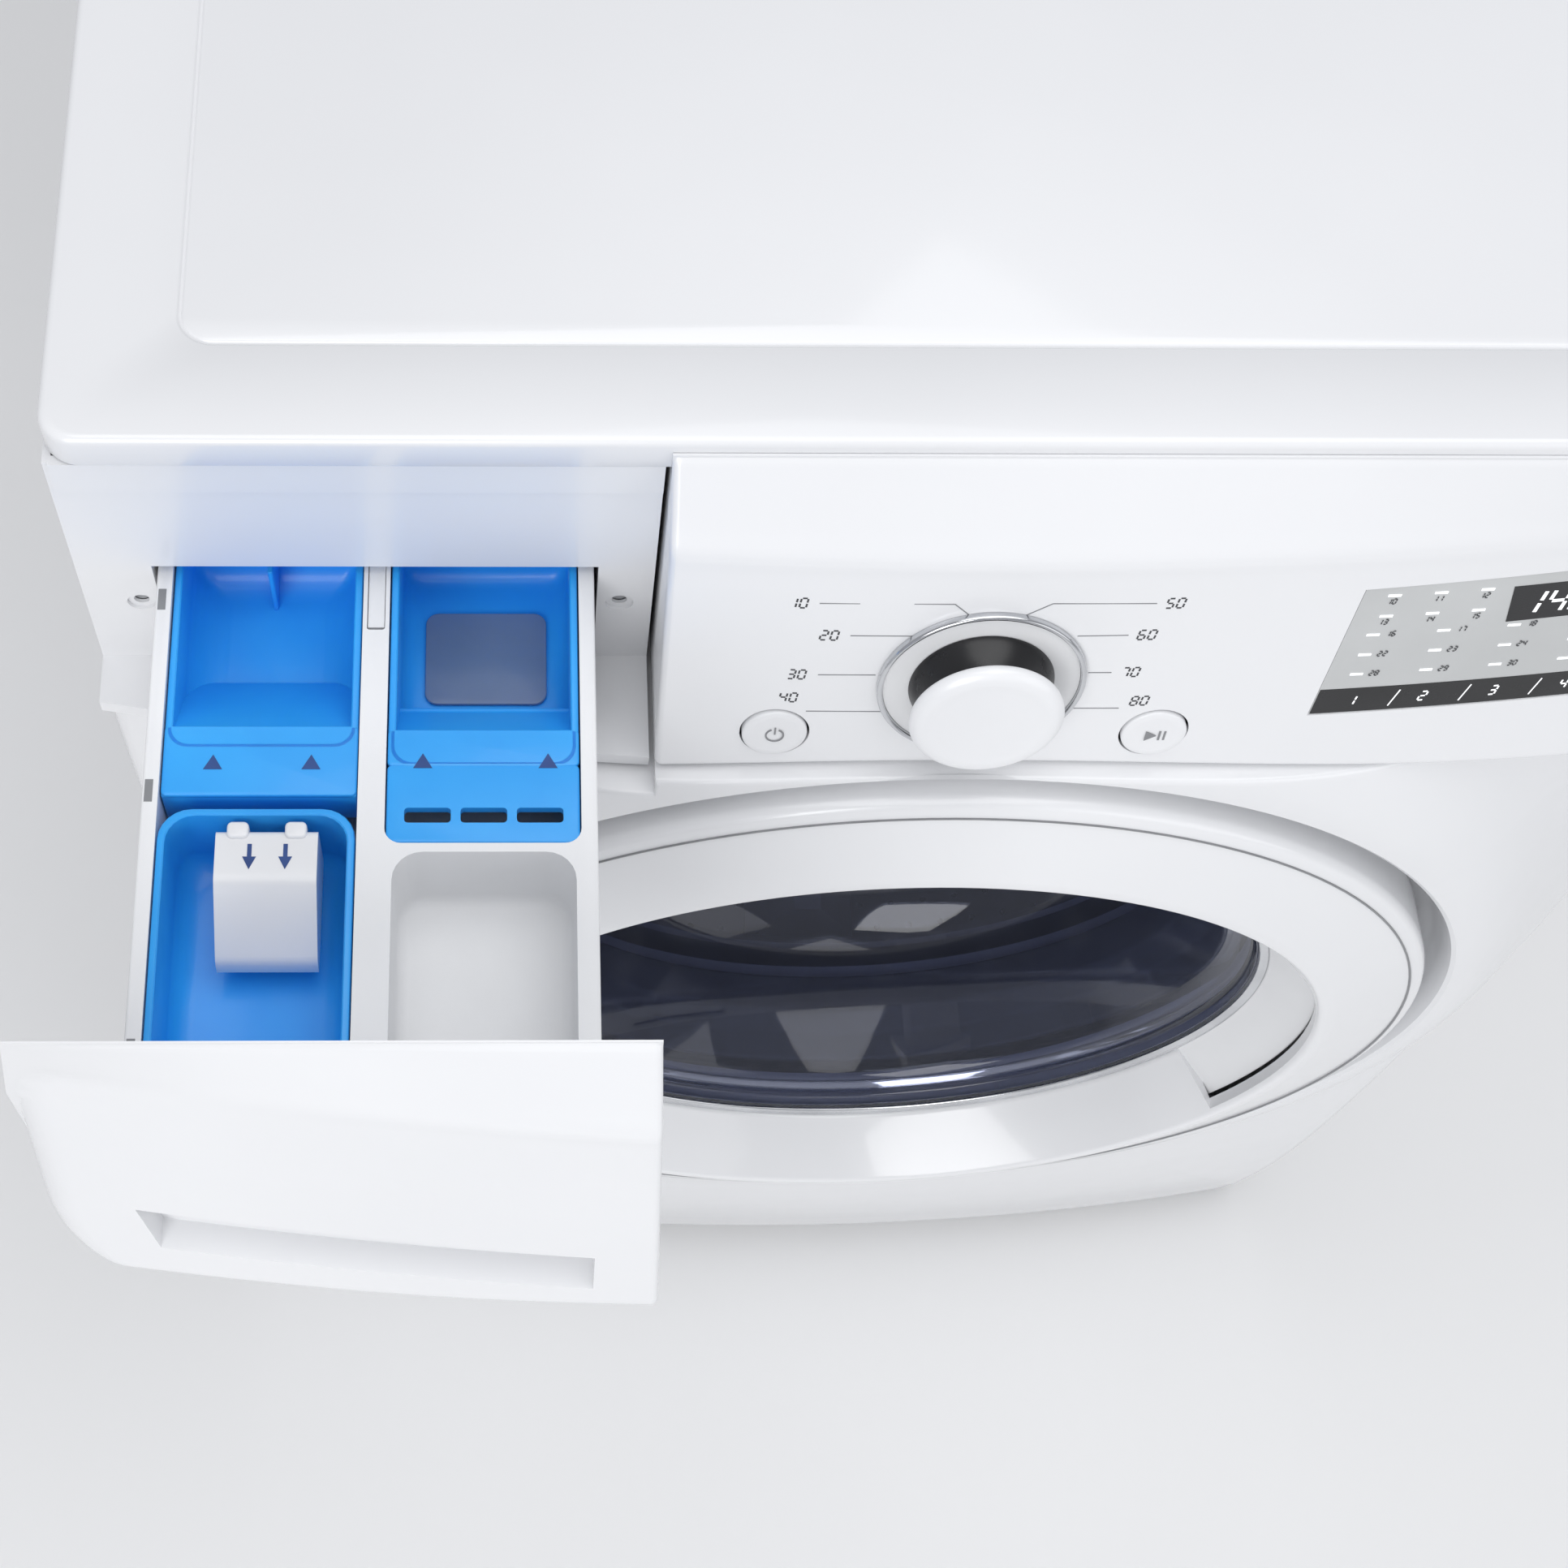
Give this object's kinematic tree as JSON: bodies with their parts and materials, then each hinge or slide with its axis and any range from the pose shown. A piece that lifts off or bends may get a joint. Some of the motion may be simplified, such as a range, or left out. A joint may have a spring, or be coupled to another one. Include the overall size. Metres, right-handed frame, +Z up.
{
  "type": "front load washing machine",
  "caption": "Free-standing front loading washing machine with a round glass door, a pull-out detergent drawer on the left and a dial control panel.",
  "frame": {"origin": "on the floor, under the middle of the space that the machine takes up with its drawer open", "axes": "+X to the machine's right seen from the front, +Y to the back, +Z up"},
  "size_m": [0.686, 0.9711, 0.984],
  "materials": {
    "white_enamel": "gloss",
    "white_plastic": "gloss",
    "matt_white_plastic": "satin",
    "blue_plastic": "gloss",
    "smoked_window": "satin",
    "display_face": "satin",
    "dark_plastic": "satin",
    "grey_plastic": "satin",
    "chrome_trim": "polished",
    "dark_glass": "polished",
    "stainless": "brushed",
    "zinc_steel": "galvanised",
    "grey_rubber": "matt",
    "black_rubber": "matt",
    "concrete": "rough",
    "cast_alloy": "cast",
    "copper_windings": "wound",
    "circuit_board": "satin",
    "board": "raw",
    "valve_blue": "satin"
  },
  "bodies": {
    "root": {"base_pan": "zinc_steel", "side_panel_left": "white_enamel", "side_panel_right": "white_enamel", "rear_panel": "zinc_steel", "rear_access_cover": "zinc_steel", "top_plate": "white_enamel", "top_board": "board", "crossbars": "zinc_steel", "front_panel": "white_enamel", "control_panel": "white_plastic", "display_window": "display_face", "control_board": "circuit_board", "knob_ring": "chrome_trim", "dispenser_housing": "white_plastic", "rubber_hoses": "black_rubber", "hinge_bracket": "zinc_steel", "door_lock": "dark_plastic", "door_gasket": "grey_rubber", "tub_front": "matt_white_plastic", "tub_rear": "matt_white_plastic", "counterweights": "concrete", "motor_stator": "copper_windings", "tub_bearings": "zinc_steel", "shaft_seal": "black_rubber", "suspension_springs": "zinc_steel", "dampers": "dark_plastic", "drain_pump": "grey_plastic", "inlet_valves": "valve_blue", "drain_outlet": "dark_plastic", "cord_gland": "dark_plastic"},
    "door": {"door_ring": "white_plastic", "door_inner_frame": "matt_white_plastic", "door_glass": "dark_glass", "glass_trim": "grey_plastic", "door_hinge": "zinc_steel"},
    "latch": {"latch_hook": "grey_plastic"},
    "drawer": {"drawer_front": "white_plastic", "drawer_tray": "matt_white_plastic", "prewash_cup": "blue_plastic", "bleach_cup": "blue_plastic", "bleach_window": "smoked_window"},
    "mainwash_cup": {"mainwash_cup": "blue_plastic"},
    "detergent_insert": {"detergent_insert": "matt_white_plastic"},
    "release_tab": {"release_tab": "matt_white_plastic"},
    "knob": {"knob_neck": "dark_plastic", "knob_cap": "white_plastic"},
    "power_button": {"power_button": "white_plastic"},
    "start_button": {"start_button": "white_plastic"},
    "drum": {"drum": "stainless", "drum_lifters": "matt_white_plastic", "drum_spider": "cast_alloy", "drum_shaft": "zinc_steel", "motor_rotor": "zinc_steel"},
    "pump_impeller": {"pump_impeller": "matt_white_plastic"},
    "filter_cap": {"filter_cap": "grey_plastic"},
    "filter_door": {"filter_door": "white_plastic"},
    "foot_front_left": {"foot_front_left": "black_rubber"},
    "foot_front_right": {"foot_front_right": "black_rubber"},
    "foot_rear_left": {"foot_rear_left": "black_rubber"},
    "foot_rear_right": {"foot_rear_right": "black_rubber"}
  },
  "joints": [
    {"name": "door_swing", "type": "hinge", "parent": "root", "child": "door", "pos_m": [-0.269, -0.2746, 0.556], "axis": [0, 0, -1], "range_deg": [0, 110]},
    {"name": "latch_pivot", "type": "hinge", "parent": "door", "child": "latch", "pos_m": [0.236, -0.2566, 0.556], "axis": [0, 0, 1], "range_deg": [0, 8], "stiffness_Nm_per_rad": 0.3},
    {"name": "drawer_slide", "type": "slide", "parent": "root", "child": "drawer", "axis": [0, -1, 0], "range_m": [-0.216, 0]},
    {"name": "mainwash_cup_lift", "type": "slide", "parent": "drawer", "child": "mainwash_cup", "axis": [0, 0, 1], "range_m": [0, 0.08]},
    {"name": "detergent_insert_lift", "type": "slide", "parent": "mainwash_cup", "child": "detergent_insert", "axis": [0, 0, 1], "range_m": [0, 0.06]},
    {"name": "release_tab_press", "type": "hinge", "parent": "drawer", "child": "release_tab", "pos_m": [-0.229, -0.2076, 0.884], "axis": [1, 0, 0], "range_deg": [0, 6], "stiffness_Nm_per_rad": 0.2},
    {"name": "knob_turn", "type": "hinge", "parent": "root", "child": "knob", "pos_m": [0, -0.2599, 0.884], "axis": [0, -0.9769, 0.2139], "continuous": true},
    {"name": "power_press", "type": "slide", "parent": "root", "child": "power_button", "axis": [0.0351, 0.9762, -0.2139], "range_m": [0, 0.0015], "stiffness_N_per_m": 800, "springref_m": -0.001},
    {"name": "start_press", "type": "slide", "parent": "root", "child": "start_button", "axis": [-0.0333, 0.9763, -0.2139], "range_m": [0, 0.0015], "stiffness_N_per_m": 800, "springref_m": -0.001},
    {"name": "drum_spin", "type": "hinge", "parent": "root", "child": "drum", "pos_m": [0, 0.3, 0.556], "axis": [0, -1, 0], "continuous": true},
    {"name": "impeller_spin", "type": "hinge", "parent": "root", "child": "pump_impeller", "pos_m": [-0.2, -0.1476, 0.105], "axis": [0, -1, 0], "continuous": true},
    {"name": "filter_cap_turn", "type": "hinge", "parent": "root", "child": "filter_cap", "pos_m": [-0.2, -0.2076, 0.105], "axis": [0, -1, 0], "range_deg": [0, 90]},
    {"name": "filter_door_pull", "type": "slide", "parent": "root", "child": "filter_door", "axis": [0, -1, 0], "range_m": [0, 0.05]},
    {"name": "foot_front_left_screw", "type": "slide", "parent": "root", "child": "foot_front_left", "axis": [0, 0, -1], "range_m": [0, 0.02]},
    {"name": "foot_front_right_screw", "type": "slide", "parent": "root", "child": "foot_front_right", "axis": [0, 0, -1], "range_m": [0, 0.02]},
    {"name": "foot_rear_left_screw", "type": "slide", "parent": "root", "child": "foot_rear_left", "axis": [0, 0, -1], "range_m": [0, 0.02]},
    {"name": "foot_rear_right_screw", "type": "slide", "parent": "root", "child": "foot_rear_right", "axis": [0, 0, -1], "range_m": [0, 0.02]}
  ]
}
